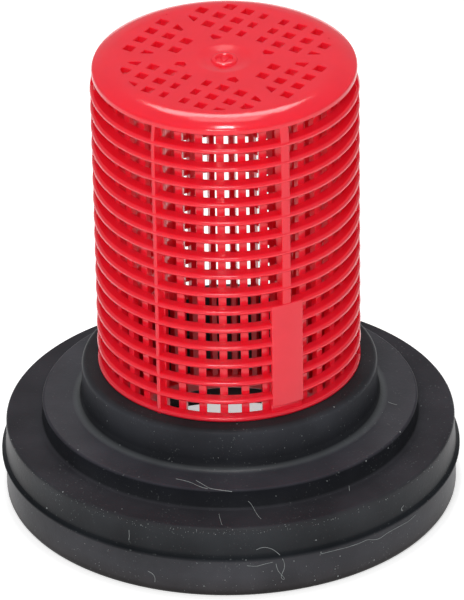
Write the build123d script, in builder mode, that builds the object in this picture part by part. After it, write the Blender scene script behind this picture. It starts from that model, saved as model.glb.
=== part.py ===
from build123d import *
import os
from math import asin, atan2, cos, degrees, radians, sin

# Filter nozzle: a red moulded strainer basket standing in a stepped rubber base.
# Millimetres, +Z up. The origin is on the axis, at the rubber's underside.
# -Y is the front, and azimuths are counted from there towards +X.

# Rings
pitch = 3.5
ring_count = 16
ring_thickness = 1.0
ring_radius_top = 22.9
ring_radius_bottom = 22.5
ring_clearance = 0.1
ring_sides = 36
ring_inner_sides = 18

# Upright bars
bar_count = 36
bar_outer_face = 20.9
bar_depth = 1.4
bar_width_outside = 1.4
bar_width_inside = 1.0

# Long ribs and plate
rib_count = 6
rib_recess = 0.1
rib_widths = (1.6, 0.7)
plate_azimuth = 29.0
plate_arc = 15.0
plate_top_ring = 10
plate_bottom_gap = 1.2
plate_depth = 1.0
plate_proud = 0.05

# Cap
cap_radius = 22.55
cap_rim = 1.05
cap_rise = 1.35
cap_wall = 1.5
cap_flat_radius = 18.2
cap_sides = 36
shoulder_facets = 3
hole_size = 2.0
hole_rows = 10
hole_field_radius = 17.8
smallest_hole_area = 0.4
hub_radius = 6.8
spoke_width = 3.0
gate_radius = 1.9
gate_height = 0.3

# Flange that holds the basket in the rubber
flange_radius = 25.0
flange_thickness = 2.5
flange_ledge = 0.5

# Rubber base
base_radius = 38.7
base_height = 13.7
lip_radius = 39.4
lip_height = 7.7
lip_undercut = 0.4
lip_flare = 1.2
mid_radius = 32.2
mid_height = 17.5
collar_radius = 25.3
collar_height = 25.0
collar_chamfer = 0.6
bore_clearance = 0.4
recess_radius = 26.5
recess_depth = 9.8

# Sizes that follow from the driving ones
bar_inner_face = bar_outer_face - bar_depth
bore_radius = bar_outer_face + bore_clearance
ring_top_first = collar_height + ring_thickness + pitch * (ring_count - 1)
cap_bottom = ring_top_first + pitch - ring_thickness
cap_corner = cap_bottom + cap_rim
cap_top = cap_corner + cap_rise
cap_ceiling = cap_top - cap_wall
rib_azimuths = [360 / rib_count * (step + 0.5) for step in range(rib_count)]
bar_azimuths = [360 / bar_count * step for step in range(bar_count)]
bar_azimuths = [azimuth for azimuth in bar_azimuths if azimuth not in rib_azimuths]


def ring_bottom(number):
    """Height of a ring's underside. Ring 1 is the highest, and the last rests on the collar."""
    return collar_height + pitch * (ring_count - number)


def ring_radius(height):
    """The rings' outer radius, which follows the slight draft of the moulding."""
    share = (height - collar_height) / (ring_top_first - collar_height)
    return ring_radius_bottom + (ring_radius_top - ring_radius_bottom) * share


def outwards(azimuth):
    """The level direction away from the axis at an azimuth."""
    return (sin(radians(azimuth)), -cos(radians(azimuth)), 0)


def level_plane(azimuth, height):
    """A level plane on the axis, with x outwards at the azimuth."""
    return Plane(origin=(0, 0, height), x_dir=outwards(azimuth), z_dir=(0, 0, 1))


def upright_plane(azimuth):
    """An upright plane through the axis, with x outwards at the azimuth and y upwards."""
    return Plane(origin=(0, 0, 0), x_dir=outwards(azimuth), z_dir=outwards(azimuth - 90))


def shoulder(facet):
    """Radius and height of the cap's shoulder where a facet starts, on an arc tangent to the top."""
    run = cap_radius - cap_flat_radius
    bend = (run**2 + cap_rise**2) / (2 * cap_rise)
    turn = asin(run / bend) * (1 - facet / shoulder_facets)
    return cap_flat_radius + bend * sin(turn), cap_top - bend * (1 - cos(turn))


def flats(radius, sides, mode=Mode.ADD):
    """A polygon whose flats lie at a radius, with one flat facing the front."""
    return RegularPolygon(radius, sides, major_radius=False, rotation=180 / sides, mode=mode)


def corners(radius, sides, mode=Mode.ADD):
    """A polygon whose corners lie at a radius, with one flat facing the front."""
    return RegularPolygon(radius, sides, rotation=180 / sides, mode=mode)


# Filter basket
with BuildPart() as filter_basket:
    # Cap: a straight rim, then a shoulder of facets that follow an arc up to the flat top
    with BuildSketch(level_plane(0, cap_bottom)):
        corners(cap_radius, cap_sides)
    extrude(amount=cap_rim)
    for facet in range(shoulder_facets):
        low_radius, low_height = shoulder(facet)
        high_radius, high_height = shoulder(facet + 1)
        lean = degrees(atan2(low_radius - high_radius, high_height - low_height))
        with BuildSketch(level_plane(0, low_height)):
            corners(low_radius, cap_sides)
        extrude(amount=high_height - low_height, taper=lean)

    # Pocket under the cap, which the bars rise into
    with BuildSketch(level_plane(0, cap_bottom)):
        flats(bar_outer_face, bar_count)
    extrude(amount=cap_ceiling - cap_bottom, mode=Mode.SUBTRACT)

    # Rings, which pass clear of the upright bars
    for number in range(1, ring_count + 1):
        with BuildSketch(level_plane(0, ring_bottom(number))):
            corners(ring_radius(ring_bottom(number)), ring_sides)
            flats(bar_outer_face + ring_clearance, ring_inner_sides, mode=Mode.SUBTRACT)
    extrude(amount=ring_thickness)

    # Flange behind the rubber's inner shoulder
    with BuildSketch(level_plane(0, recess_depth - flange_thickness)):
        corners(flange_radius, ring_sides)
        flats(bar_inner_face - flange_ledge, ring_sides, mode=Mode.SUBTRACT)
    extrude(amount=flange_thickness)

    # Upright bars from the flange to the cap, drafted towards the inside
    with BuildSketch(level_plane(0, recess_depth)):
        with Locations(*[Location((0, 0, 0), (0, 0, azimuth)) for azimuth in bar_azimuths]):
            Polygon(
                (bar_inner_face, -bar_width_inside / 2),
                (bar_outer_face, -bar_width_outside / 2),
                (bar_outer_face, bar_width_outside / 2),
                (bar_inner_face, bar_width_inside / 2),
                align=None,
            )
    extrude(amount=cap_ceiling - recess_depth)

    # Long ribs, which carry the rings and stop just inside their edges
    for step, azimuth in enumerate(rib_azimuths):
        with BuildSketch(upright_plane(azimuth)):
            Polygon(
                (bar_inner_face, recess_depth),
                (bar_outer_face, recess_depth),
                (bar_outer_face, collar_height),
                (ring_radius(collar_height) - rib_recess, collar_height),
                (ring_radius(ring_top_first) - rib_recess, ring_top_first),
                (cap_radius - rib_recess, cap_bottom),
                (bar_outer_face, cap_bottom),
                (bar_outer_face, cap_ceiling),
                (bar_inner_face, cap_ceiling),
                align=None,
            )
        extrude(amount=rib_widths[step % len(rib_widths)] / 2, both=True)

    # Plate over the rings
    plate_low = ring_bottom(ring_count) + ring_thickness + plate_bottom_gap
    plate_high = ring_bottom(plate_top_ring) + ring_thickness
    with BuildSketch(upright_plane(plate_azimuth - plate_arc / 2)):
        Polygon(
            (ring_radius(plate_low) - plate_depth, plate_low),
            (ring_radius(plate_low) + plate_proud, plate_low),
            (ring_radius(plate_high) + plate_proud, plate_high),
            (ring_radius(plate_high) - plate_depth, plate_high),
            align=None,
        )
    revolve(axis=Axis.Z, revolution_arc=plate_arc)

    # Holes in the cap: one square grid, cut off at the hub, the bare spokes and a circle
    with BuildSketch(level_plane(rib_azimuths[2], cap_ceiling), mode=Mode.PRIVATE) as hole_field:
        with GridLocations(pitch, pitch, hole_rows, hole_rows):
            Rectangle(hole_size, hole_size)
        corners(hole_field_radius, cap_sides, mode=Mode.INTERSECT)
        corners(hub_radius, cap_sides, mode=Mode.SUBTRACT)
        with PolarLocations(0, rib_count // 2, angular_range=180):
            Rectangle(2 * hole_field_radius, spoke_width, mode=Mode.SUBTRACT)
    holes = hole_field.sketch.faces().filter_by(lambda face: face.area > smallest_hole_area)
    extrude(holes, amount=cap_wall, mode=Mode.SUBTRACT)

    # Gate mark
    with BuildSketch(level_plane(0, cap_top)):
        Circle(gate_radius)
    extrude(amount=gate_height)
filter_basket.part.label = "filter_basket"

# Rubber base
with BuildPart() as rubber_base:
    with BuildSketch(Plane.XZ):
        Polygon(
            (recess_radius, 0),
            (base_radius, 0),
            (base_radius, lip_height - lip_undercut),
            (lip_radius, lip_height),
            (base_radius, lip_height + lip_flare),
            (base_radius, base_height),
            (mid_radius, base_height),
            (mid_radius, mid_height),
            (collar_radius, mid_height),
            (collar_radius, collar_height),
            (bore_radius, collar_height),
            (bore_radius, recess_depth),
            (recess_radius, recess_depth),
            align=None,
        )
    revolve(axis=Axis.Z)
    top_edges = rubber_base.edges().filter_by(GeomType.CIRCLE).group_by(Axis.Z)[-1]
    chamfer(top_edges.sort_by(SortBy.RADIUS)[-1], length=collar_chamfer)
rubber_base.part.label = "rubber_base"

os.makedirs("parts", exist_ok=True)
export_step(filter_basket.part, "parts/filter_basket.step")
export_step(rubber_base.part, "parts/rubber_base.step")
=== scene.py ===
"""The looks of a filter nozzle: a red moulded strainer basket in a stepped black rubber base.

Everything is in metres, in the frame of the packed part: +Z up, the axis at the origin, -Y the front.
Azimuths are counted from -Y towards +X, in radians where nothing says degrees.
"""

import math
import random

import bpy
from mathutils import Matrix, Vector


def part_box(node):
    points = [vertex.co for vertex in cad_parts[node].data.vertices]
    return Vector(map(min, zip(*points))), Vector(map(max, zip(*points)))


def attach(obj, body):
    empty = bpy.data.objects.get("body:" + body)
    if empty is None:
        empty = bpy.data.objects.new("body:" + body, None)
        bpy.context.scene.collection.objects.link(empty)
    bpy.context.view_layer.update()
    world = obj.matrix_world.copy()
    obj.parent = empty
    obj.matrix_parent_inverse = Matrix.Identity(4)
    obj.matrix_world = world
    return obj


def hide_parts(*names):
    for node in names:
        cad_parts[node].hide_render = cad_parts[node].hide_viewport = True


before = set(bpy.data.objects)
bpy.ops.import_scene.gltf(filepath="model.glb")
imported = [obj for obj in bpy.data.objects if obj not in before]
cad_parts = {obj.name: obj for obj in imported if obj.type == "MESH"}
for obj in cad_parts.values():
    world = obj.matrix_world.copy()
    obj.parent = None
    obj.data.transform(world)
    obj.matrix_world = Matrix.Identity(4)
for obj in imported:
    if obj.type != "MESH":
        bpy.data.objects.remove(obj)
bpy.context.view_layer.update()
basket_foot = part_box("filter_basket")[0].z

bl_info = {
    "name": "Filter nozzle",
    "version": (1, 0, 0),
    "blender": (4, 5, 0),
    "location": "View3D > Sidebar > Filter nozzle",
    "description": "Builds the strainer basket, the rubber base, the lint on it and the studio",
    "category": "Object",
}

MM = 0.001

# Places nearer to each other than this are one place
TINY = 1e-6

# Edges sharper than this stay sharp, and how much large faces count in the normals
SMOOTH_DEGREES = 40
FLAT_WEIGHT = 80

# How many steps round shapes are made in
RING_STEPS = 144
CAP_STEPS = 288
BASE_STEPS = 256
SHOULDER_STEPS = 12
PLATE_STEPS = 16
FIELD_STEPS = 96

# How far cutters reach past what they cut, and the least rise of an upright edge
CLEAR = 1.0 * MM
UPRIGHT = 1.0 * MM

# Each of the two plain ridges in the gate mark: how far it lies to the right, and its turn in degrees
RIDGES = ((-0.35 * MM, 20), (0.4 * MM, -30))

# Bands of the rubber's height where the finest grains lie: from, to, and the share of all grains
GRAIN_BANDS = ((12.5 * MM, 13.6 * MM, 0.5), (1.0 * MM, 7.2 * MM, 0.38), (17.5 * MM, 24.6 * MM, 0.12))
# How far from the axis the rays start that find their places, and their spread round it in radians
GRAIN_REACH = 0.1
GRAIN_SPREAD = 0.9
# Least and greatest share of the set size, for grains and specks, and for the three sides of each
GRAIN_SIZES = (0.5, 1.5)
SPECK_SIZES = (0.6, 1.2)
SPECK_SHAPES = (0.6, 1.3)
# How far a fibre's middle lies above the rubber, in its own radius, and how often its path is evened out
FIBRE_RISE = 0.6
FIBRE_ROUNDS = 2

# Colour and gloss of the rubber by height, pale dust and painted light and shade together: bands and steps
# paler or darker partly with dust and partly as painted light, with painted shade at the feet of the sides.
# Columns: height, strength of the black in each channel, gloss
RUBBER_TOP = 26.0 * MM
RUBBER_BLOOM_AND_SHADE = (
    (0.0 * MM, (1.4, 1.1, 0.8), 1),
    (1.8 * MM, (5.3, 5.0, 4.8), 3),
    (4.0 * MM, (6.0, 6.0, 6.0), 3),
    (7.2 * MM, (5.9, 6.0, 6.0), 3),
    # painted shadow line above the flash lip
    (8.0 * MM, (1.2, 1.4, 1.5), 1),
    (8.8 * MM, (2.4, 2.6, 2.6), 3),
    (12.5 * MM, (3.7, 4.0, 4.0), 3),
    (13.4 * MM, (4.4, 4.5, 4.4), 1.5),
    (13.7 * MM, (4.2, 4.1, 4.3), 1.2),
    (14.1 * MM, (2.5, 2.6, 2.7), 1),
    (17.1 * MM, (1.4, 1.5, 1.7), 1),
    (17.5 * MM, (5.2, 5.0, 5.5), 1),
    # painted highlight in the fillet at the collar's foot
    (17.6 * MM, (5.4, 6.0, 6.0), 20),
    (17.9 * MM, (3.4, 3.8, 3.8), 14),
    # collar side painted darker towards its foot, where shade falls
    (18.2 * MM, (1.5, 1.6, 1.7), 1),
    (24.3 * MM, (4.4, 4.6, 4.8), 1.5),
    (25.0 * MM, (3.2, 3.2, 3.2), 1),
)

# The width of the camera's sensor in mm, the height that the lights look at, and the floor's side
SENSOR_WIDTH = 36.0
LIGHT_HEIGHT = 0.05
FLOOR_SIDE = 6.0

# The photograph's frame, and what lies on the rubber in it, in pixels from its top left corner
PHOTO_SIZE = (464, 600)
FIBRES = {
    "long_loop": (
        (256.4, 549.7), (260.6, 547.6), (265.5, 546.9), (272.6, 549), (278.2, 553.2), (283.1, 558.8),
        (284.9, 564.4), (283.8, 570.7), (280.3, 575.8), (281.8, 579.6), (284.5, 580.4), (285.6, 578.4),
        (281.7, 575.2), (277.5, 570.7), (276, 563.7),
    ),
    "curl": ((148, 571), (152.5, 573), (155.5, 577), (155, 582)),
    "small_curl": (
        (403.5, 505.5), (401, 507.5), (400, 510), (401.5, 512), (403.8, 511), (403, 509), (401, 509.5),
    ),
    "bent_fibre": ((248, 501), (251.5, 504), (254, 509), (257, 515), (261, 519)),
    "short_left": ((129, 530), (129.6, 535), (129, 540)),
    "short_middle": ((219, 514), (220, 519), (222, 525)),
    "short_right": ((388, 402), (392, 404), (397, 405)),
    "upright_right": ((349, 486), (349.4, 491)),
    "wavy_left": ((176, 479), (184, 480.5), (192, 483), (200, 487), (208, 489)),
    "wavy_lower": ((196, 480.5), (203, 484.5), (209, 488.5), (219, 490), (232, 491.5)),
    "torn_flash_low": ((247, 565.5), (256, 566.5), (266, 563.5), (273, 562)),
    "torn_flash": (
        (320, 554), (334, 550.5), (348, 547), (360, 543), (368, 539), (372, 540),
        (379, 539), (387, 533), (398, 527), (409, 521), (415, 515),
    ),
}
SPECKS = (
    (78, 450), (120, 445), (141, 525), (148, 524), (147, 520), (115, 512), (122, 509), (47, 508),
    (210, 563), (225, 580), (63, 492), (139, 477), (421, 406), (428, 419), (432, 467), (400, 432),
    (388, 448), (366, 461), (327, 481), (247, 486), (276, 496), (333, 519), (290, 529), (316, 540),
    (321, 552), (294, 561), (246, 560), (340, 556), (335, 569), (315, 580), (338, 576), (374, 560),
    (237, 424), (334, 407), (204, 586), (272, 571),
)


def length(name, description, default):
    """A length in metres that the sidebar shows in the scene's units."""
    units = {"subtype": "DISTANCE", "unit": "LENGTH", "precision": 5}
    return bpy.props.FloatProperty(name=name, description=description, default=default, min=0.0, **units)


def colour(name, description, default):
    """A linear colour that the sidebar shows as a swatch."""
    swatch = {"size": 3, "min": 0.0, "max": 1.0, "subtype": "COLOR"}
    return bpy.props.FloatVectorProperty(name=name, description=description, default=default, **swatch)


def share(name, description, default):
    """A plain number from nought to one."""
    return bpy.props.FloatProperty(name=name, description=description, default=default, min=0.0, max=1.0)


def count(name, description, default):
    """A whole number."""
    return bpy.props.IntProperty(name=name, description=description, default=default, min=1)


def angle(name, description, default):
    """An angle, written here in degrees and kept in radians."""
    units = {"subtype": "ANGLE", "unit": "ROTATION"}
    return bpy.props.FloatProperty(name=name, description=description, default=math.radians(default), **units)


class BasketSizes(bpy.types.PropertyGroup):
    """Sizes of the strainer basket."""

    pitch: length("Ring pitch", "Height from one ring to the next", 3.5 * MM)
    ring_count: count("Rings", "How many rings", 16)
    ring_thickness: length("Ring thickness", "Height of one ring", 1.0 * MM)
    ring_low: length("Lowest ring", "Height of the lowest ring's underside", 25.0 * MM)
    ring_radius: length("Lowest ring's radius", "Outer radius of the lowest ring", 22.5 * MM)
    ring_draft: length("Draft per ring", "What a ring gains on the radius of the one under it", 0.027 * MM)
    ring_inside: length("Ring inner radius", "Radius just inside the bars' outer faces", 20.75 * MM)
    ring_rounding: length("Ring edge rounding", "Rounding of the rings' outer edges", 0.42 * MM)
    ring_slope: length("Ring slope", "Width of the sloping edge on top of a ring", 0.5 * MM)
    ring_fall: length("Ring fall", "How far that edge falls outwards", 0.1 * MM)
    bar_count: count("Bars", "How many upright bars", 36)
    bar_face: length("Bar outer face", "Distance of the bars' outer faces from the axis", 20.9 * MM)
    bar_depth: length("Bar depth", "Depth of a bar towards the axis", 1.4 * MM)
    bar_width: length("Bar width", "Width of a bar at its outer face", 1.4 * MM)
    bar_width_inside: length("Bar inner width", "Width of a bar at its inner face", 0.92 * MM)
    bar_rounding: length("Bar edge rounding", "Rounding of the bars' long edges", 0.12 * MM)
    bar_foot: length("Bar foot", "How far above the flange's underside the bars start", 1.5 * MM)
    bar_in_cap: length("Bar in cap", "How far the bars run up into the cap", 0.4 * MM)
    rib_first: count("First rib", "Number of the bar that has the first long rib", 3)
    rib_every: count("Bars per rib", "Bars from one long rib to the next", 6)
    rib_wide: length("Wide rib", "Width of the wide long ribs", 1.6 * MM)
    rib_narrow: length("Narrow rib", "Width of the narrow long ribs", 0.7 * MM)
    rib_recess: length("Rib recess", "How far the long ribs stop inside the rings' edges", 0.12 * MM)
    rib_lean: angle("Wide rib lean", "How far the wide ribs stand off the middle of their bars", -1.2)
    rib_root: length("Rib root", "How deep the long ribs run into their bars", 0.5 * MM)
    rib_in_cap: length("Rib in cap", "How far the long ribs run up into the cap", 0.3 * MM)
    rib_in_rim: length("Rib under the rim", "How far their heads stop inside the cap's rim", 0.1 * MM)
    flange_inside: length("Flange inner radius", "Inner radius of the hidden flange", 19.2 * MM)
    flange_radius: length("Flange radius", "Outer radius of the hidden flange", 25.0 * MM)
    flange_height: length("Flange height", "Height of the hidden flange", 2.5 * MM)
    flange_rounding: length("Flange rounding", "Rounding of the hidden flange's edges", 0.3 * MM)


class CapSizes(bpy.types.PropertyGroup):
    """Sizes of the cap."""

    radius: length("Cap radius", "Radius of the cap's rim", 22.55 * MM)
    low: length("Rim underside", "Height of the cap's underside", 81.0 * MM)
    rim: length("Rim height", "Height of the straight rim", 1.05 * MM)
    top: length("Cap top", "Height of the flat top", 83.4 * MM)
    flat: length("Flat radius", "Radius where the shoulder starts", 18.2 * MM)
    wall: length("Cap wall", "Thickness of the cap's top", 1.5 * MM)
    rim_wall: length("Rim wall", "Thickness of the rim", 1.65 * MM)
    rim_rounding: length("Rim rounding", "Rounding of the rim's upper edge", 0.3 * MM)
    low_rounding: length("Lower rim rounding", "Rounding of the rim's lower edge", 0.25 * MM)
    hole: length("Hole side", "Side of a square hole", 1.74 * MM)
    hole_rows: count("Hole rows", "Rows of the hole grid", 10)
    hole_turn: angle("Hole turn", "Turn of the hole grid about the axis", 60)
    hole_field: length("Hole field radius", "Radius of the circle that cuts off the grid", 18.4 * MM)
    hole_field_right: length("Hole field right", "How far right of the axis that circle lies", 0.4 * MM)
    hole_field_back: length("Hole field back", "How far behind the axis that circle lies", 0.45 * MM)
    hole_least: length("Least hole", "Width under which a cut-off hole is left out", 0.55 * MM)
    hub: length("Hub radius", "Radius of the plain middle", 6.8 * MM)
    spoke: length("Spoke width", "Width of the plain bands across the grid", 2.8 * MM)
    spoke_turn: angle("First spoke", "Turn of the first plain band about the axis", 30)
    spokes: count("Spokes", "How many plain bands cross the grid", 3)
    hole_rounding: length("Hole edge rounding", "Rounding of the holes' upper edges", 0.12 * MM)
    gate: length("Gate mark radius", "Radius of the gate mark", 1.9 * MM)
    gate_rounding: length("Gate mark rounding", "Rounding of the gate mark's bead", 0.05 * MM)
    dish: length("Dish depth", "Depth of the dish round the gate mark", 0.36 * MM)
    ridge_width: length("Ridge width", "Width of the ridges in the gate mark", 0.26 * MM)
    ridge_front: length("Ridge to the front", "How far the ridges run to the front", 0.9 * MM)
    ridge_back: length("Ridge to the back", "How far the ridges run to the back", 0.8 * MM)
    ridge_height: length("Ridge height", "Height of the ridges over the dish", 0.2 * MM)
    ridge_root: length("Ridge root", "How deep the ridges run into the dish", 0.3 * MM)
    ridge_rounding: length("Ridge rounding", "Rounding of the ridges' upper edges", 0.08 * MM)


class PlateSizes(bpy.types.PropertyGroup):
    """Sizes of the bare plate over the lower rings."""

    azimuth: angle("Plate azimuth", "Middle of the plate, from the front", 29.0)
    arc: angle("Plate arc", "Angle that the plate covers", 15.0)
    low: length("Plate underside", "Height of the plate's lower edge", 27.2 * MM)
    high: length("Plate top", "Height of the plate's upper edge", 47.0 * MM)
    depth: length("Plate depth", "Thickness of the plate", 1.0 * MM)
    foot_recess: length("Foot recess", "How far the wall under it lies inside the lowest ring", 0.55 * MM)
    foot_depth: length("Foot depth", "Thickness of the wall under the plate", 1.0 * MM)
    foot_lap: length("Foot lap", "How far that wall and the wide rib run on behind the plate", 1.0 * MM)
    foot_low: length("Foot low", "How far above the lowest ring's underside that wall starts", 0.5 * MM)
    proud: length("Plate proud", "How far the plate stands out of the rings", 0.05 * MM)
    edge: length("Plate edge", "Rounding of the plate's edges", 0.18 * MM)


class RubberSizes(bpy.types.PropertyGroup):
    """Sizes of the rubber base."""

    base_radius: length("Base radius", "Radius of the wide base under the lip", 38.6 * MM)
    base_radius_top: length("Base top radius", "Radius of the wide base at its top edge", 38.45 * MM)
    base_top: length("Base top", "Height of the wide base", 13.7 * MM)
    lip_radius: length("Lip radius", "Radius of the flash lip", 39.3 * MM)
    lip_height: length("Lip height", "Height of the flash lip", 7.7 * MM)
    lip_thickness: length("Lip thickness", "Thickness of the flash at its edge", 0.25 * MM)
    lip_slope: length("Lip slope", "Height of the slope under the lip", 0.45 * MM)
    lip_flare: length("Lip flare", "Height of the cove above the lip", 2.2 * MM)
    cove_share: share("Cove share", "Share of that height where the cove bends", 0.3)
    cove_low: length("Cove foot", "How far the cove stands out at its bend", 0.22 * MM)
    cove_high: length("Cove head", "How far the cove stands out at its top", 0.05 * MM)
    mid_radius: length("Middle radius", "Radius of the middle disc", 32.2 * MM)
    mid_top: length("Middle top", "Height of the middle disc", 17.5 * MM)
    collar_radius: length("Collar radius", "Radius of the collar", 25.3 * MM)
    collar_top: length("Collar top", "Height of the collar", 25.0 * MM)
    bore: length("Bore radius", "Radius of the bore round the bars", 21.3 * MM)
    recess_radius: length("Recess radius", "Radius of the recess underneath", 26.5 * MM)
    recess_depth: length("Recess depth", "Depth of the recess underneath", 9.8 * MM)
    foot_rounding: length("Bottom rounding", "Rounding of the bottom edge", 1.3 * MM)
    edge_rounding: length("Edge rounding", "Rounding of the disc edges", 0.45 * MM)
    collar_rounding: length("Collar rounding", "Rounding of the collar's upper edge", 1.0 * MM)
    fillet: length("Step fillet", "Fillet at the foot of the middle disc", 0.55 * MM)
    collar_fillet: length("Collar fillet", "Fillet at the foot of the collar", 1.8 * MM)
    hidden_rounding: length("Hidden rounding", "Rounding of the bore's and the recess's edges", 0.3 * MM)


class LintSizes(bpy.types.PropertyGroup):
    """Sizes of the fibres and specks on the rubber."""

    fibre: length("Fibre thickness", "Radius of a fibre", 0.05 * MM)
    step: bpy.props.FloatProperty(name="Fibre step", description="Photo pixels per point", default=2.5)
    speck: length("Speck size", "Radius of a clear speck", 0.14 * MM)
    grain: length("Grain size", "Radius of the finest specks", 0.055 * MM)
    grains: count("Grains", "How many of the finest specks", 420)
    seed: bpy.props.IntProperty(name="Seed", description="Chooses where the finest specks lie", default=7)


class FinishColours(bpy.types.PropertyGroup):
    """Colours and gloss of the two mouldings."""

    red: colour("Red plastic", "Colour of the basket", (0.88, 0.013, 0.036))
    red_roughness: share("Red roughness", "Roughness of the basket", 0.13)
    red_gloss: share("Red gloss", "Specular level of the basket", 0.5)
    black: colour("Black rubber", "Colour of the base", (0.008, 0.008, 0.009))
    black_roughness: share("Rubber roughness", "Roughness of the base", 0.38)
    black_gloss: share("Rubber gloss", "Specular level of the base", 0.03)
    lint: colour("Lint", "Colour of the fibres and specks", (0.27, 0.29, 0.29))


class StudioSettings(bpy.types.PropertyGroup):
    """Camera and light."""

    elevation: angle("Camera elevation", "Height of the camera above the horizon", 30.153)
    azimuth: angle("Camera azimuth", "Camera's azimuth from the front", 2.75)
    roll: angle("Camera roll", "Turn of the camera about its own line of sight", -0.9934)
    distance: length("Camera distance", "Distance from the camera to its target", 2443.5 * MM)
    lens: bpy.props.FloatProperty(name="Lens", description="Focal length in mm", default=859.34, min=1.0)
    target_height: length("Target height", "Height that the camera's target is counted from", 39.48 * MM)
    target_right: length("Target right", "How far the target lies to the right of the axis", 0.6142 * MM)
    target_down: length("Target down", "How far below that height it lies, across the view", 2.9504 * MM)
    world_light: share("World light", "Strength of the even light from all round", 0.44)
    floor_white: share("Floor white", "How pale the floor is", 0.86)
    floor_glow: share("Floor glow", "Light that the floor adds for the camera, gloss and glass", 0.5)


GROUPS = (
    ("nozzle_basket", BasketSizes),
    ("nozzle_cap", CapSizes),
    ("nozzle_plate", PlateSizes),
    ("nozzle_rubber", RubberSizes),
    ("nozzle_lint", LintSizes),
    ("nozzle_finish", FinishColours),
    ("nozzle_studio", StudioSettings),
)


# Small helpers for modelling


def deselect():
    """Goes back to object mode, with nothing selected."""
    if bpy.context.object and bpy.context.object.mode != "OBJECT":
        bpy.ops.object.mode_set(mode="OBJECT")
    bpy.ops.object.select_all(action="DESELECT")


def activate(piece):
    """Selects one piece and makes it the active one."""
    deselect()
    piece.select_set(True)
    bpy.context.view_layer.objects.active = piece


def edit(piece):
    """Selects one piece and goes into edit mode on it."""
    activate(piece)
    bpy.ops.object.mode_set(mode="EDIT")


def pick(piece, test, kind="VERT"):
    """In edit mode, selects points by their place, edges by their ends, or faces by middle and normal."""
    bpy.ops.mesh.select_mode(type=kind)
    bpy.ops.mesh.select_all(action="DESELECT")
    bpy.ops.object.mode_set(mode="OBJECT")
    mesh = piece.data
    if kind == "VERT":
        for vertex in mesh.vertices:
            vertex.select = test(vertex.co)
    elif kind == "EDGE":
        for edge in mesh.edges:
            ends = [mesh.vertices[index].co for index in edge.vertices]
            edge.select = test(*ends)
    else:
        for face in mesh.polygons:
            face.select = test(face.center, face.normal)
    bpy.ops.object.mode_set(mode="EDIT")


def outwards(azimuth):
    """The level direction away from the axis, for an azimuth in radians."""
    return Vector((math.sin(azimuth), -math.cos(azimuth), 0.0))


def draw_outline(name, spots, closed=True):
    """Draws a line or a closed outline from corner to corner, as a new piece in edit mode."""
    deselect()
    bpy.ops.mesh.primitive_plane_add(size=MM)
    piece = bpy.context.object
    piece.name = name
    piece.data.name = name
    bpy.ops.object.mode_set(mode="EDIT")
    bpy.ops.mesh.select_mode(type="VERT")
    bpy.ops.mesh.select_all(action="SELECT")
    bpy.ops.mesh.merge(type="CENTER")
    spots = [Vector(spot) for spot in spots]
    bpy.ops.transform.translate(value=spots[0])
    for start, end in zip(spots, spots[1:]):
        bpy.ops.mesh.extrude_region_move(TRANSFORM_OT_translate={"value": end - start})
    if closed:
        pick(piece, lambda co: (co - spots[0]).length < TINY or (co - spots[-1]).length < TINY)
        bpy.ops.mesh.edge_face_add()
    return piece


def section(corners):
    """Corners of a section in the XZ plane, from pairs of radius and height."""
    return [Vector((radius, 0.0, height)) for radius, height in corners]


def arc(middle_radius, middle_height, radius, start, end, steps):
    """Corners along an arc in the XZ plane, between two angles above the horizon in degrees."""
    corners = []
    for step in range(steps + 1):
        turn = math.radians(start + (end - start) * step / steps)
        corners.append((middle_radius + radius * math.cos(turn), middle_height + radius * math.sin(turn)))
    return corners


def round_corners(piece, corners, radius, segments):
    """Rounds the outline's corners that lie at the given places, by a length along their sides."""
    spots = section(corners)
    pick(piece, lambda co: any((co - spot).length < TINY for spot in spots))
    bpy.ops.mesh.bevel(offset=radius, segments=segments, affect="VERTICES")


def wheel(name, corners, roundings, steps, closed=True):
    """A body turned about the axis, from a section and its roundings: length, segments and corners."""
    piece = draw_outline(name, section(corners), closed)
    for radius, segments, rounded in roundings:
        round_corners(piece, rounded, radius, segments)
    bpy.ops.mesh.select_all(action="SELECT")
    bpy.ops.mesh.spin(steps=steps, angle=2 * math.pi, center=(0, 0, 0), axis=(0, 0, 1))
    tidy_mesh(piece)
    return piece


def tidy_mesh(piece, merge=True):
    """Merges doubles where told, turns the faces outwards and leaves edit mode."""
    edit(piece)
    bpy.ops.mesh.select_all(action="SELECT")
    if merge:
        bpy.ops.mesh.remove_doubles(threshold=TINY)
    bpy.ops.mesh.normals_make_consistent(inside=False)
    bpy.ops.object.mode_set(mode="OBJECT")


def settle(piece):
    """Puts a piece's place, turn and size into its mesh."""
    activate(piece)
    bpy.ops.object.transform_apply(location=True, rotation=True, scale=True)
    return piece


def rod(name, low, high):
    """A box between two corners, as a new piece in object mode."""
    deselect()
    low, high = Vector(low), Vector(high)
    bpy.ops.mesh.primitive_cube_add(size=1.0, location=(low + high) / 2)
    piece = bpy.context.object
    piece.name = name
    piece.data.name = name
    piece.scale = high - low
    return settle(piece)


def bevel_edges(piece, test, radius, segments):
    """Rounds the edges whose two ends pass a test of place."""
    edit(piece)
    pick(piece, test, "EDGE")
    bpy.ops.mesh.bevel(offset=radius, segments=segments, affect="EDGES")
    bpy.ops.object.mode_set(mode="OBJECT")


def upright(one, two):
    """True for the ends of an upright edge."""
    return abs(one.z - two.z) > UPRIGHT


def copy_turned(piece, azimuth):
    """A copy of a piece with its own mesh, turned about the axis from where the piece stands."""
    activate(piece)
    bpy.ops.object.duplicate(linked=False)
    copy = bpy.context.object
    copy.rotation_euler.z = azimuth
    return settle(copy)


def join(pieces, name):
    """Joins pieces into one without changing their shapes."""
    deselect()
    for piece in pieces:
        piece.select_set(True)
    bpy.context.view_layer.objects.active = pieces[0]
    if len(pieces) > 1:
        bpy.ops.object.join()
    pieces[0].name = name
    pieces[0].data.name = name
    return pieces[0]


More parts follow.
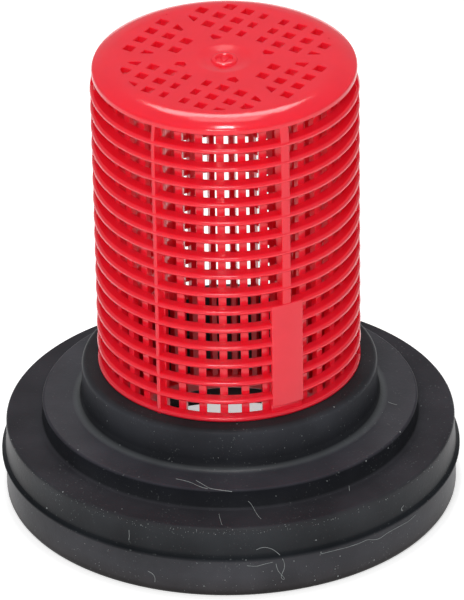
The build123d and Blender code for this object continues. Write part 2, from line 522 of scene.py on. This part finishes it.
def combine(piece, other, operation="UNION"):
    """Joins, cuts or intersects a piece with another, which is used up."""
    activate(piece)
    step = piece.modifiers.new("combine", "BOOLEAN")
    step.operation = operation
    step.solver = "MANIFOLD"
    step.object = other
    bpy.ops.object.modifier_apply(modifier=step.name)
    bpy.data.objects.remove(other)
    if not piece.data.polygons:
        raise RuntimeError("nothing is left of " + piece.name)


def smooth(piece):
    """Smooth shading that keeps flat faces flat."""
    activate(piece)
    bpy.ops.object.shade_smooth_by_angle(angle=math.radians(SMOOTH_DEGREES))
    step = piece.modifiers.new("even normals", "WEIGHTED_NORMAL")
    step.keep_sharp = True
    step.weight = FLAT_WEIGHT
    bpy.ops.object.modifier_apply(modifier=step.name)


def coat(piece, material):
    """Gives a piece its only material."""
    piece.data.materials.clear()
    piece.data.materials.append(material)


# The strainer basket


def make_rings(sizes):
    """Level rings with sloping, rounded noses, each a little wider than the one under it."""
    rings = []
    for number in range(sizes.ring_count):
        low = sizes.ring_low + number * sizes.pitch
        high = low + sizes.ring_thickness
        radius = sizes.ring_radius + number * sizes.ring_draft
        corners = [
            (sizes.ring_inside, low),
            (radius, low),
            (radius, high - sizes.ring_fall),
            (radius - sizes.ring_slope, high),
            (sizes.ring_inside, high),
        ]
        noses = [(sizes.ring_rounding, 3, corners[1:3])]
        rings.append(wheel("ring", corners, noses, RING_STEPS))
    return join(rings, "rings")


def make_bars(sizes, cap, plate):
    """Upright bars, narrower inside, and the long ribs that reach out to the rings' noses."""
    foot = basket_foot + sizes.bar_foot
    head = cap.top - cap.wall + sizes.bar_in_cap
    inner = -(sizes.bar_face - sizes.bar_depth)
    half = sizes.bar_width / 2
    bar = rod("bar", (-half, -sizes.bar_face, foot), (half, inner, head))
    edit(bar)
    pick(bar, lambda co: co.y > inner - TINY)
    bpy.ops.transform.resize(value=(sizes.bar_width_inside / sizes.bar_width, 1, 1))
    bevel_edges(bar, upright, sizes.bar_rounding, 2)
    step = 2 * math.pi / sizes.bar_count
    pieces = []
    for number in range(sizes.bar_count):
        azimuth = number * step
        pieces.append(copy_turned(bar, azimuth))
        ribs, bars_on = divmod(number - sizes.rib_first, sizes.rib_every)
        if bars_on == 0:
            wide = ribs % 2 == 0
            behind_plate = abs(azimuth - plate.azimuth) < plate.arc / 2
            low = plate.low + plate.foot_lap if behind_plate else foot
            rib = make_rib(sizes, cap, sizes.rib_wide if wide else sizes.rib_narrow, low)
            pieces.append(copy_turned(rib, azimuth + (sizes.rib_lean if wide else 0)))
            bpy.data.objects.remove(rib)
    bpy.data.objects.remove(bar)
    bars = pieces[0]
    for piece in pieces[1:]:
        combine(bars, piece)
    return bars


def make_rib(sizes, cap, width, low):
    """The fin of a long rib at the front, which follows the rings' draft and ends under the cap."""
    root = -(sizes.bar_face - sizes.rib_root)
    last_ring = sizes.ring_low + (sizes.ring_count - 1) * sizes.pitch + sizes.ring_thickness
    reach = sizes.ring_radius - sizes.rib_recess
    foot_reach = reach + (low - sizes.ring_low) / sizes.pitch * sizes.ring_draft
    head_reach = reach + sizes.ring_count * sizes.ring_draft
    rib = rod("rib", (-width / 2, -foot_reach, low), (width / 2, root, last_ring))
    edit(rib)
    pick(rib, lambda co: co.y < root - TINY and co.z > last_ring - TINY)
    bpy.ops.transform.translate(value=(0, foot_reach - head_reach, 0))
    pick(rib, lambda middle, normal: normal.z > 0.5, "FACE")
    rise = cap.low + sizes.rib_in_cap - last_ring
    bpy.ops.mesh.extrude_region_move(TRANSFORM_OT_translate={"value": (0, 0, rise)})
    pick(rib, lambda co: co.y < root - TINY and co.z > last_ring + TINY)
    bpy.ops.transform.translate(value=(0, head_reach - cap.radius + sizes.rib_in_rim, 0))
    rounding = min(sizes.bar_rounding, width / 4)
    bevel_edges(rib, lambda one, two: upright(one, two) and one.y < root - TINY, rounding, 2)
    return rib


def gate_mark(sizes):
    """Corners of the gate mark's section, from the axis out: its middle, its bead and its dish."""
    gate, top = sizes.gate, sizes.top
    floor = top - sizes.dish
    middle = [(0.0, floor + 0.04 * MM), (0.7 * gate, floor + 0.02 * MM)]
    bead = [(0.8 * gate, top + 0.1 * MM), (1.12 * gate, top - 0.02 * MM)]
    level = [(1.2 * gate, floor), (1.5 * gate, floor + 0.01 * MM), (1.7 * gate, floor + 0.04 * MM)]
    rise = [(2.4 * gate, top - 0.04 * MM), (2.6 * gate, top - 0.005 * MM), (2.9 * gate, top)]
    return middle, bead, level + rise


def make_cap(sizes, pitch):
    """Cap with a domed shoulder, a gate mark in a shallow dish and a grid of square holes."""
    run = sizes.radius - sizes.flat
    rise = sizes.top - sizes.low - sizes.rim
    bend = (run**2 + rise**2) / (2 * rise)
    turn = math.degrees(math.asin(run / bend))
    shoulder = arc(sizes.flat, sizes.top - bend, bend, 90, 90 - turn, SHOULDER_STEPS)
    middle, bead, dish = gate_mark(sizes)
    low_edge = (sizes.radius, sizes.low)
    inside, under = sizes.radius - sizes.rim_wall, sizes.top - sizes.wall
    hollow = [(inside, sizes.low), (inside, under), (0.0, under)]
    roundings = [
        (sizes.rim_rounding, 4, shoulder[-1:]),
        (sizes.low_rounding, 3, [low_edge]),
        (sizes.gate_rounding, 2, bead),
    ]
    corners = [*middle, *bead, *dish, *shoulder, low_edge, *hollow]
    cap = wheel("cap", corners, roundings, CAP_STEPS, closed=False)
    combine(cap, make_hole_cutter(sizes, pitch), "DIFFERENCE")
    for right, degrees in RIDGES:
        combine(cap, make_ridge(sizes, right, math.radians(degrees)))
    return cap


def make_ridge(sizes, right, turn):
    """A plain ridge across the middle of the gate mark, turned and then moved to the right."""
    half = sizes.ridge_width / 2
    floor = sizes.top - sizes.dish
    low, high = floor - sizes.ridge_root, floor + sizes.ridge_height
    block = rod("ridge", (-half, -sizes.ridge_front, low), (half, sizes.ridge_back, high))
    bevel_edges(block, lambda one, two: min(one.z, two.z) > floor, sizes.ridge_rounding, 2)
    ridge = copy_turned(block, turn)
    bpy.data.objects.remove(block)
    ridge.location.x = right
    return settle(ridge)


def make_hole_cutter(sizes, pitch):
    """All the square holes as one cutter, with the hub, the spokes and the rim taken off it."""
    low = sizes.top - sizes.wall - CLEAR
    high = sizes.top - sizes.hole_rounding
    half = sizes.hole / 2
    pin = rod("hole", (-half, -half, low), (half, half, high))
    edit(pin)
    pick(pin, lambda middle, normal: normal.z > 0.5, "FACE")
    bpy.ops.mesh.extrude_region_move(TRANSFORM_OT_translate={"value": (0, 0, 2 * sizes.hole_rounding)})
    wider = 1 + 4 * sizes.hole_rounding / sizes.hole
    bpy.ops.transform.resize(value=(wider, wider, 1), center_override=(0, 0, high))
    bpy.ops.object.mode_set(mode="OBJECT")
    for axis in range(2):
        row = pin.modifiers.new("row", "ARRAY")
        row.count = sizes.hole_rows
        row.use_relative_offset = False
        row.use_constant_offset = True
        row.constant_offset_displace = [pitch if axis == side else 0.0 for side in range(3)]
        bpy.ops.object.modifier_apply(modifier=row.name)
    shift = -pitch * (sizes.hole_rows - 1) / 2
    pin.location = (shift, shift, 0)
    settle(pin)
    turned = copy_turned(pin, sizes.hole_turn)
    bpy.data.objects.remove(pin)

    below, above = low - CLEAR, sizes.top + CLEAR
    rounds = (
        (sizes.hole_field, (sizes.hole_field_right, sizes.hole_field_back), "INTERSECT"),
        (sizes.hub, (0.0, 0.0), "DIFFERENCE"),
    )
    for radius, off, operation in rounds:
        deselect()
        bpy.ops.mesh.primitive_cylinder_add(
            vertices=FIELD_STEPS, radius=radius, depth=above - below, location=(*off, (below + above) / 2)
        )
        combine(turned, settle(bpy.context.object), operation)
    half = sizes.spoke / 2
    for number in range(sizes.spokes):
        bar = rod("spoke", (-half, -sizes.radius, below), (half, sizes.radius, above))
        spoke = copy_turned(bar, sizes.spoke_turn + math.pi * number / sizes.spokes)
        bpy.data.objects.remove(bar)
        combine(turned, spoke, "DIFFERENCE")
    return drop_slivers(turned, sizes.hole_least)


def drop_slivers(piece, least):
    """Takes away the loose parts of a piece that are narrower than a length."""
    activate(piece)
    bpy.ops.mesh.separate(type="LOOSE")
    parts = list(bpy.context.selected_objects)
    kept = [part for part in parts if min(part.dimensions.x, part.dimensions.y) > least]
    for part in parts:
        if part not in kept:
            bpy.data.objects.remove(part)
    return join(kept, "hole_cutter")


def curved_panel(name, corners, plate):
    """A panel over the plate's arc, from the corners of its section."""
    panel = draw_outline(name, section(corners))
    bpy.ops.mesh.select_all(action="SELECT")
    bpy.ops.mesh.edge_face_add()
    bpy.ops.mesh.spin(steps=PLATE_STEPS, angle=plate.arc, center=(0, 0, 0), axis=(0, 0, 1))
    tidy_mesh(panel)
    middle = sum((vertex.co for vertex in panel.data.vertices), Vector()) / len(panel.data.vertices)
    panel.rotation_euler.z = plate.azimuth - math.atan2(middle.x, -middle.y)
    return settle(panel)


def make_plate(sizes, basket):
    """Bare curved plate over the lower rings."""
    rings_up = (sizes.high - basket.ring_low) / basket.pitch
    low_reach = basket.ring_radius + sizes.proud
    high_reach = low_reach + rings_up * basket.ring_draft
    inside = low_reach - sizes.depth
    corners = [(inside, sizes.low), (low_reach, sizes.low), (high_reach, sizes.high), (inside, sizes.high)]
    plate = curved_panel("plate", corners, sizes)
    edge = plate.modifiers.new("edge", "BEVEL")
    edge.width = sizes.edge
    edge.segments = 3
    edge.limit_method = "ANGLE"
    edge.angle_limit = math.radians(50)
    bpy.ops.object.modifier_apply(modifier=edge.name)
    return plate


def make_plate_foot(sizes, basket):
    """Recessed wall that closes the gap between the plate and the lowest ring."""
    reach = basket.ring_radius - sizes.foot_recess
    inside = reach - sizes.foot_depth
    low, high = basket.ring_low + sizes.foot_low, sizes.low + sizes.foot_lap
    return curved_panel("plate_foot", [(inside, low), (reach, low), (reach, high), (inside, high)], sizes)


def make_flange(sizes):
    """Level flange at the foot of the bars, hidden in the rubber."""
    inside, radius = sizes.flange_inside, sizes.flange_radius
    low, high = basket_foot, basket_foot + sizes.flange_height
    corners = [(inside, low), (radius, low), (radius, high), (inside, high)]
    return wheel("flange", corners, [(sizes.flange_rounding, 3, corners)], RING_STEPS)


class OBJECT_OT_filter_basket(bpy.types.Operator):
    """Builds the strainer basket as one moulding"""

    bl_idname = "object.filter_basket"
    bl_label = "Strainer basket"

    def execute(self, context):
        scene = context.scene
        sizes, cap, plate = scene.nozzle_basket, scene.nozzle_cap, scene.nozzle_plate
        basket = make_rings(sizes)
        parts = (
            make_bars(sizes, cap, plate),
            make_cap(cap, sizes.pitch),
            make_plate(plate, sizes),
            make_plate_foot(plate, sizes),
            make_flange(sizes),
        )
        for part in parts:
            combine(basket, part)
        basket.name = "strainer_basket"
        tidy_mesh(basket)
        smooth(basket)
        coat(basket, red_plastic(scene.nozzle_finish))
        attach(basket, "root")
        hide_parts("filter_basket")
        return {"FINISHED"}


# The rubber base


def make_stepped_base(sizes):
    """Base, middle disc and collar, with the flash lip, the bore and the recess underneath."""
    half_lip = sizes.lip_thickness / 2
    cove = sizes.base_radius_top
    recess_edge = (sizes.recess_radius, 0.0)
    bottom_edge = (sizes.base_radius, 0.0)
    lip = [
        (sizes.base_radius, sizes.lip_height - sizes.lip_slope),
        (sizes.lip_radius, sizes.lip_height - half_lip),
        (sizes.lip_radius, sizes.lip_height + half_lip),
        (cove + sizes.cove_low, sizes.lip_height + sizes.cove_share * sizes.lip_flare),
        (cove + sizes.cove_high, sizes.lip_height + sizes.lip_flare),
    ]
    base_edge = (sizes.base_radius_top, sizes.base_top)
    mid_foot = (sizes.mid_radius, sizes.base_top)
    mid_edge = (sizes.mid_radius, sizes.mid_top)
    collar_foot = (sizes.collar_radius, sizes.mid_top)
    collar_edge = (sizes.collar_radius, sizes.collar_top)
    bore = [(sizes.bore, sizes.collar_top), (sizes.bore, sizes.recess_depth)]
    recess_top = (sizes.recess_radius, sizes.recess_depth)
    roundings = [
        (sizes.foot_rounding, 6, [bottom_edge]),
        (sizes.edge_rounding, 4, [base_edge, mid_edge]),
        (sizes.fillet, 4, [mid_foot]),
        (sizes.collar_fillet, 6, [collar_foot]),
        (sizes.collar_rounding, 6, [collar_edge]),
        (sizes.hidden_rounding, 3, [recess_edge, *bore, recess_top]),
    ]
    steps = [base_edge, mid_foot, mid_edge, collar_foot, collar_edge]
    corners = [recess_edge, bottom_edge, *lip, *steps, *bore, recess_top]
    return wheel("stepped_base", corners, roundings, BASE_STEPS)


class OBJECT_OT_rubber_base(bpy.types.Operator):
    """Builds the stepped rubber base with its moulding flash"""

    bl_idname = "object.rubber_base"
    bl_label = "Rubber base"

    def execute(self, context):
        base = make_stepped_base(context.scene.nozzle_rubber)
        smooth(base)
        coat(base, black_rubber(context.scene.nozzle_finish))
        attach(base, "root")
        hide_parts("rubber_base")
        return {"FINISHED"}


# Lint and dust on the rubber


def on_rubber(studio, pixel):
    """The place on the rubber that the camera sees at a pixel of the photograph, and its normal."""
    width, height = PHOTO_SIZE
    view = view_matrix(studio)
    reach = studio.lens / SENSOR_WIDTH * max(PHOTO_SIZE)
    ray = Vector((pixel[0] - width / 2, height / 2 - pixel[1], -reach)).normalized()
    origin = view.to_translation()
    rubber = bpy.data.objects["stepped_base"]
    found, place, normal, _ = rubber.ray_cast(origin, view.to_3x3() @ ray)
    if not found:
        raise RuntimeError("no rubber at pixel %s" % (pixel,))
    return place, normal


def evened(spots):
    """A path with each spot between its two ends drawn towards its neighbours."""
    trios = zip(spots, spots[1:], spots[2:])
    return [spots[0], *((before + 2 * spot + after) / 4 for before, spot, after in trios), spots[-1]]


def make_fibre(studio, sizes, pixels):
    """A fibre that lies on the rubber along a line of pixels."""
    path = []
    for start, end in zip(pixels, pixels[1:]):
        start, end = Vector(start), Vector(end)
        parts = max(1, round((end - start).length / sizes.step))
        path += [start.lerp(end, number / parts) for number in range(parts)]
    path.append(Vector(pixels[-1]))
    spots = []
    for pixel in path:
        place, normal = on_rubber(studio, pixel)
        spots.append(place + normal * sizes.fibre * FIBRE_RISE)
    for _ in range(FIBRE_ROUNDS):
        spots = evened(spots)
    draw_outline("fibre", spots, closed=False)
    bpy.ops.object.mode_set(mode="OBJECT")
    bpy.ops.object.convert(target="CURVE")
    curve = bpy.context.object.data
    curve.bevel_depth = sizes.fibre
    curve.bevel_resolution = 1
    curve.use_fill_caps = True
    bpy.ops.object.convert(target="MESH")
    return settle(bpy.context.object)


def add_speck(chance, place, radius):
    """In edit mode, adds one small uneven speck that sits half in the surface."""
    turn = [chance.uniform(0, math.pi) for _ in range(3)]
    shape = [chance.uniform(*SPECK_SHAPES) for _ in range(3)]
    bpy.ops.mesh.primitive_ico_sphere_add(
        subdivisions=1, radius=radius, location=place, rotation=turn, scale=shape
    )


def grain_places(studio, sizes, chance):
    """Places on the rubber where the finest grains lie, strewn at random in their bands."""
    rubber = bpy.data.objects["stepped_base"]
    places = []
    for low, high, part in GRAIN_BANDS:
        for _ in range(int(sizes.grains * part)):
            away = outwards(studio.azimuth + chance.gauss(0, GRAIN_SPREAD))
            level = Vector((0, 0, chance.uniform(low, high)))
            found, place, _, _ = rubber.ray_cast(level + away * GRAIN_REACH, -away)
            if found:
                places.append(place)
    return places


def make_specks(studio, sizes):
    """The clear specks at their pixels, and the finest grains."""
    chance = random.Random(sizes.seed)
    deselect()
    first = on_rubber(studio, SPECKS[0])[0]
    bpy.ops.mesh.primitive_ico_sphere_add(subdivisions=1, radius=sizes.speck, location=first)
    specks = settle(bpy.context.object)
    bpy.ops.object.mode_set(mode="EDIT")
    for pixel in SPECKS[1:]:
        add_speck(chance, on_rubber(studio, pixel)[0], sizes.speck * chance.uniform(*SPECK_SIZES))
    bpy.ops.object.mode_set(mode="OBJECT")
    places = grain_places(studio, sizes, chance)
    edit(specks)
    for place in places:
        add_speck(chance, place, sizes.grain * chance.uniform(*GRAIN_SIZES))
    bpy.ops.object.mode_set(mode="OBJECT")
    return specks


class OBJECT_OT_lint(bpy.types.Operator):
    """Lays fibres, specks and fine grains on the rubber"""

    bl_idname = "object.nozzle_lint"
    bl_label = "Lint and dust"

    def execute(self, context):
        studio = context.scene.nozzle_studio
        sizes = context.scene.nozzle_lint
        fibres = [make_fibre(studio, sizes, pixels) for pixels in FIBRES.values()]
        lint = join([make_specks(studio, sizes), *fibres], "lint")
        tidy_mesh(lint, merge=False)
        coat(lint, pale_lint(context.scene.nozzle_finish))
        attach(lint, "root")
        return {"FINISHED"}


# Finishes


def empty_tree(owner):
    """Empties the node tree of a material or world, and returns a function that adds nodes to it."""
    tree = owner.node_tree
    tree.nodes.clear()

    def node(kind, sockets=None, **settings):
        """Adds a node, and gives each of the named sockets a value or a link from another node."""
        made = tree.nodes.new(kind)
        for key, value in settings.items():
            setattr(made, key, value)
        for key, value in (sockets or {}).items():
            if isinstance(value, bpy.types.NodeSocket):
                tree.links.new(value, made.inputs[key])
            else:
                made.inputs[key].default_value = value
        return made

    return node


def new_material(name):
    """An empty node material, and a function that adds nodes to it."""
    material = bpy.data.materials.new(name)
    material.use_nodes = True
    return material, empty_tree(material)


def own_place(node):
    """The place on the piece, in its own coordinates."""
    return node("ShaderNodeTexCoord").outputs["Object"]


def noise(node, place, scale, detail=2):
    """Soft noise over the piece."""
    return node("ShaderNodeTexNoise", {"Vector": place, "Scale": scale, "Detail": detail}).outputs["Fac"]


def stretched(node, value, low, high, new_low=0, new_high=1):
    """A value brought from one range to another, and held inside it."""
    ends = {"From Min": low, "From Max": high, "To Min": new_low, "To Max": new_high}
    return node("ShaderNodeMapRange", {"Value": value, **ends}).outputs["Result"]


def mixed(node, factor, one, other, blend="MIX"):
    """Two colours brought together."""
    colours = {"Factor": factor, "A": one, "B": other}
    return node("ShaderNodeMix", colours, data_type="RGBA", blend_type=blend).outputs["Result"]


def joined(node, operation, one, other):
    """Two numbers brought together."""
    return node("ShaderNodeMath", {0: one, 1: other}, operation=operation).outputs["Value"]


def bumpy(node, height, strength, distance):
    """The normal of a surface with small bumps."""
    sockets = {"Height": height, "Strength": strength, "Distance": distance}
    return node("ShaderNodeBump", sockets).outputs["Normal"]


def shaded(tone, amount):
    """A colour made darker or paler."""
    return (*[value * amount for value in tone], 1)


def finish_surface(node, sockets):
    """Adds the material's shader, with its sockets set, and its output."""
    shader = node("ShaderNodeBsdfPrincipled", sockets)
    node("ShaderNodeOutputMaterial", {"Surface": shader.outputs["BSDF"]})


def red_plastic(finish):
    """Glossy red moulded plastic, a little translucent, with faint mould marks."""
    material, node = new_material("red_plastic")
    place = own_place(node)
    shade = stretched(node, noise(node, place, scale=180, detail=4), 0, 1, 0.9, 1.06)
    surface = {
        "Base Color": mixed(node, 1, (*finish.red, 1), shade, "MULTIPLY"),
        "Roughness": finish.red_roughness,
        "Specular IOR Level": finish.red_gloss,
        "IOR": 1.5,
        "Subsurface Weight": 0.8,
        "Subsurface Radius": (1.0, 0.12, 0.1),
        "Subsurface Scale": 1.5 * MM,
        "Normal": bumpy(node, noise(node, place, scale=900, detail=3), strength=0.07, distance=0.06 * MM),
    }
    finish_surface(node, surface)
    return material


def black_rubber(finish):
    """Matt black moulded rubber with a fine grain and a little pale dust."""
    material, node = new_material("black_rubber")
    place = own_place(node)
    patches = stretched(node, noise(node, place, scale=120, detail=6), 0.42, 0.62, 0, 0.7)
    specks = stretched(node, noise(node, place, scale=2600, detail=1), 0.68, 0.76)
    dust = joined(node, "MULTIPLY", specks, patches)
    # the black by height carries painted light and shade as well as dust
    black_dust_and_shade, gloss = rubber_dust_and_shade(node, place, finish)
    surface = {
        "Base Color": mixed(node, dust, black_dust_and_shade, shaded(finish.lint, 0.5)),
        "Roughness": finish.black_roughness,
        "Specular IOR Level": gloss,
        "IOR": 1.5,
        "Normal": bumpy(node, noise(node, place, scale=1500, detail=4), strength=0.35, distance=0.08 * MM),
    }
    finish_surface(node, surface)
    return material


def pale_lint(finish):
    """Dull pale fibre and dust, a little uneven in tone."""
    material, node = new_material("pale_lint")
    cloud = noise(node, own_place(node), scale=700)
    tint = mixed(node, cloud, shaded(finish.lint, 0.5), shaded(finish.lint, 1.3))
    finish_surface(node, {"Base Color": tint, "Roughness": 0.8})
    return material


def rubber_dust_and_shade(node, place, finish):
    """The black of the rubber by height, with dust and with painted light and shade in it, and its gloss by
    height.
    """
    height = node("ShaderNodeSeparateXYZ", {"Vector": place}).outputs["Z"]
    ramp = node("ShaderNodeValToRGB", {"Fac": stretched(node, height, 0, RUBBER_TOP)})
    points = ramp.color_ramp.elements
    while len(points) < len(RUBBER_BLOOM_AND_SHADE):
        points.new(1.0)
    for point, (level, strength, gloss) in zip(points, RUBBER_BLOOM_AND_SHADE):
        black = [value * amount for value, amount in zip(finish.black, strength)]
        point.position = level / RUBBER_TOP
        point.color = (*black, gloss * finish.black_gloss)
    smear = stretched(node, noise(node, place, scale=90, detail=5), 0.3, 0.7, 0.75, 1.25)
    return mixed(node, 1, ramp.outputs["Color"], smear, "MULTIPLY"), ramp.outputs["Alpha"]


# The studio


def view_matrix(studio):
    """Place and turn of the camera."""
    side = Vector((math.cos(studio.azimuth), math.sin(studio.azimuth), 0))
    level = outwards(studio.azimuth)
    back = level * math.cos(studio.elevation) + Vector((0, 0, math.sin(studio.elevation)))
    up = back.cross(side)
    target = Vector((0, 0, studio.target_height)) + studio.target_right * side - studio.target_down * up
    turn = Matrix((side, up, back)).transposed() @ Matrix.Rotation(studio.roll, 3, "Z")
    return Matrix.Translation(target + studio.distance * back) @ turn.to_4x4()


def area_light(name, size, energy, azimuth, elevation, distance):
    """A soft light that looks at the object from an azimuth in radians and an elevation in degrees."""
    deselect()
    rise = math.radians(elevation)
    towards = outwards(azimuth) * math.cos(rise) + Vector((0, 0, math.sin(rise)))
    bpy.ops.object.light_add(type="AREA", location=towards * distance + Vector((0, 0, LIGHT_HEIGHT)))
    lamp = bpy.context.object
    lamp.name = name
    lamp.data.shape = "RECTANGLE"
    lamp.data.size, lamp.data.size_y = size
    lamp.data.energy = energy
    lamp.rotation_euler = towards.to_track_quat("Z", "Y").to_euler()


class SCENE_OT_nozzle_studio(bpy.types.Operator):
    """Sets up the camera, the soft light and the pale floor"""

    bl_idname = "scene.nozzle_studio"
    bl_label = "Studio"

    def execute(self, context):
        studio = context.scene.nozzle_studio
        deselect()
        bpy.ops.object.camera_add()
        camera = bpy.context.object
        camera.name = "camera"
        camera.matrix_world = view_matrix(studio)
        camera.data.sensor_fit = "AUTO"
        camera.data.sensor_width = SENSOR_WIDTH
        camera.data.lens = studio.lens
        camera.data.clip_start = 0.1
        camera.data.clip_end = 30
        context.scene.camera = camera

        front, back = studio.azimuth - 0.1, studio.azimuth + math.pi
        # Name, sides, watts, azimuth, elevation in degrees and distance of each light
        lights = (
            ("back_softbox", (0.5, 0.26), 2.6, back, 54, 1.2),
            ("upper_softbox", (0.36, 0.26), 0.8, back, 68, 1.2),
            ("overhead_lamp", (0.12, 0.16), 1.7, back, 91, 1.2),
            ("front_key", (0.6, 0.15), 9.2, front, 34, 1.4),
        )
        for light in lights:
            area_light(*light)

        deselect()
        bpy.ops.mesh.primitive_plane_add(size=FLOOR_SIDE)
        floor = bpy.context.object
        floor.name = "floor"
        coat(floor, pale_floor(studio))

        context.scene.world = pale_world(studio)
        context.scene.view_settings.view_transform = "Standard"
        return {"FINISHED"}


def seen_or_mirrored(node):
    """One for rays that show the background: from the camera, off gloss or through glass."""
    path = node("ShaderNodeLightPath").outputs
    gloss = joined(node, "MAXIMUM", path["Is Camera Ray"], path["Is Glossy Ray"])
    return joined(node, "MAXIMUM", gloss, path["Is Transmission Ray"])


def pale_floor(studio):
    """A white floor that shows as white, and keeps a soft contact shadow."""
    material, node = new_material("pale_floor")
    plain = node("ShaderNodeBsdfDiffuse", {"Color": shaded((1, 1, 1), studio.floor_white)})
    strength = joined(node, "MULTIPLY", seen_or_mirrored(node), studio.floor_glow)
    glow = node("ShaderNodeEmission", {"Strength": strength})
    both = node("ShaderNodeAddShader", {0: plain.outputs["BSDF"], 1: glow.outputs["Emission"]})
    node("ShaderNodeOutputMaterial", {"Surface": both.outputs["Shader"]})
    return material


def pale_world(studio):
    """Soft even light from all round, which the gloss of the basket mirrors."""
    world = bpy.data.worlds.new("pale_world")
    world.use_nodes = True
    node = empty_tree(world)
    light = node("ShaderNodeBackground", {"Color": (1, 1, 1, 1), "Strength": studio.world_light})
    node("ShaderNodeOutputWorld", {"Surface": light.outputs["Background"]})
    return world


# The sidebar and the run


class VIEW3D_PT_filter_nozzle(bpy.types.Panel):
    """Lists the sizes, the finishes and the steps"""

    bl_label = "Filter nozzle"
    bl_idname = "VIEW3D_PT_filter_nozzle"
    bl_space_type = "VIEW_3D"
    bl_region_type = "UI"
    bl_category = "Filter nozzle"

    def draw(self, context):
        for operator in OPERATORS:
            self.layout.operator(operator.bl_idname)
        for name, group in GROUPS:
            box = self.layout.box()
            box.label(text=group.__doc__)
            for setting in group.__annotations__:
                box.prop(getattr(context.scene, name), setting)


OPERATORS = (OBJECT_OT_filter_basket, OBJECT_OT_rubber_base, OBJECT_OT_lint, SCENE_OT_nozzle_studio)


def register():
    """Registers the classes and puts the settings on the scene."""
    for name, group in GROUPS:
        bpy.utils.register_class(group)
        setattr(bpy.types.Scene, name, bpy.props.PointerProperty(type=group))
    for operator in OPERATORS:
        bpy.utils.register_class(operator)
    bpy.utils.register_class(VIEW3D_PT_filter_nozzle)


def unregister():
    """Takes the classes and the settings away again."""
    bpy.utils.unregister_class(VIEW3D_PT_filter_nozzle)
    for operator in reversed(OPERATORS):
        bpy.utils.unregister_class(operator)
    for name, group in reversed(GROUPS):
        delattr(bpy.types.Scene, name)
        bpy.utils.unregister_class(group)


def main():
    """Builds everything in order."""
    register()
    bpy.ops.object.filter_basket()
    bpy.ops.object.rubber_base()
    bpy.ops.object.nozzle_lint()
    bpy.ops.scene.nozzle_studio()
    deselect()


if __name__ == "__main__":
    main()
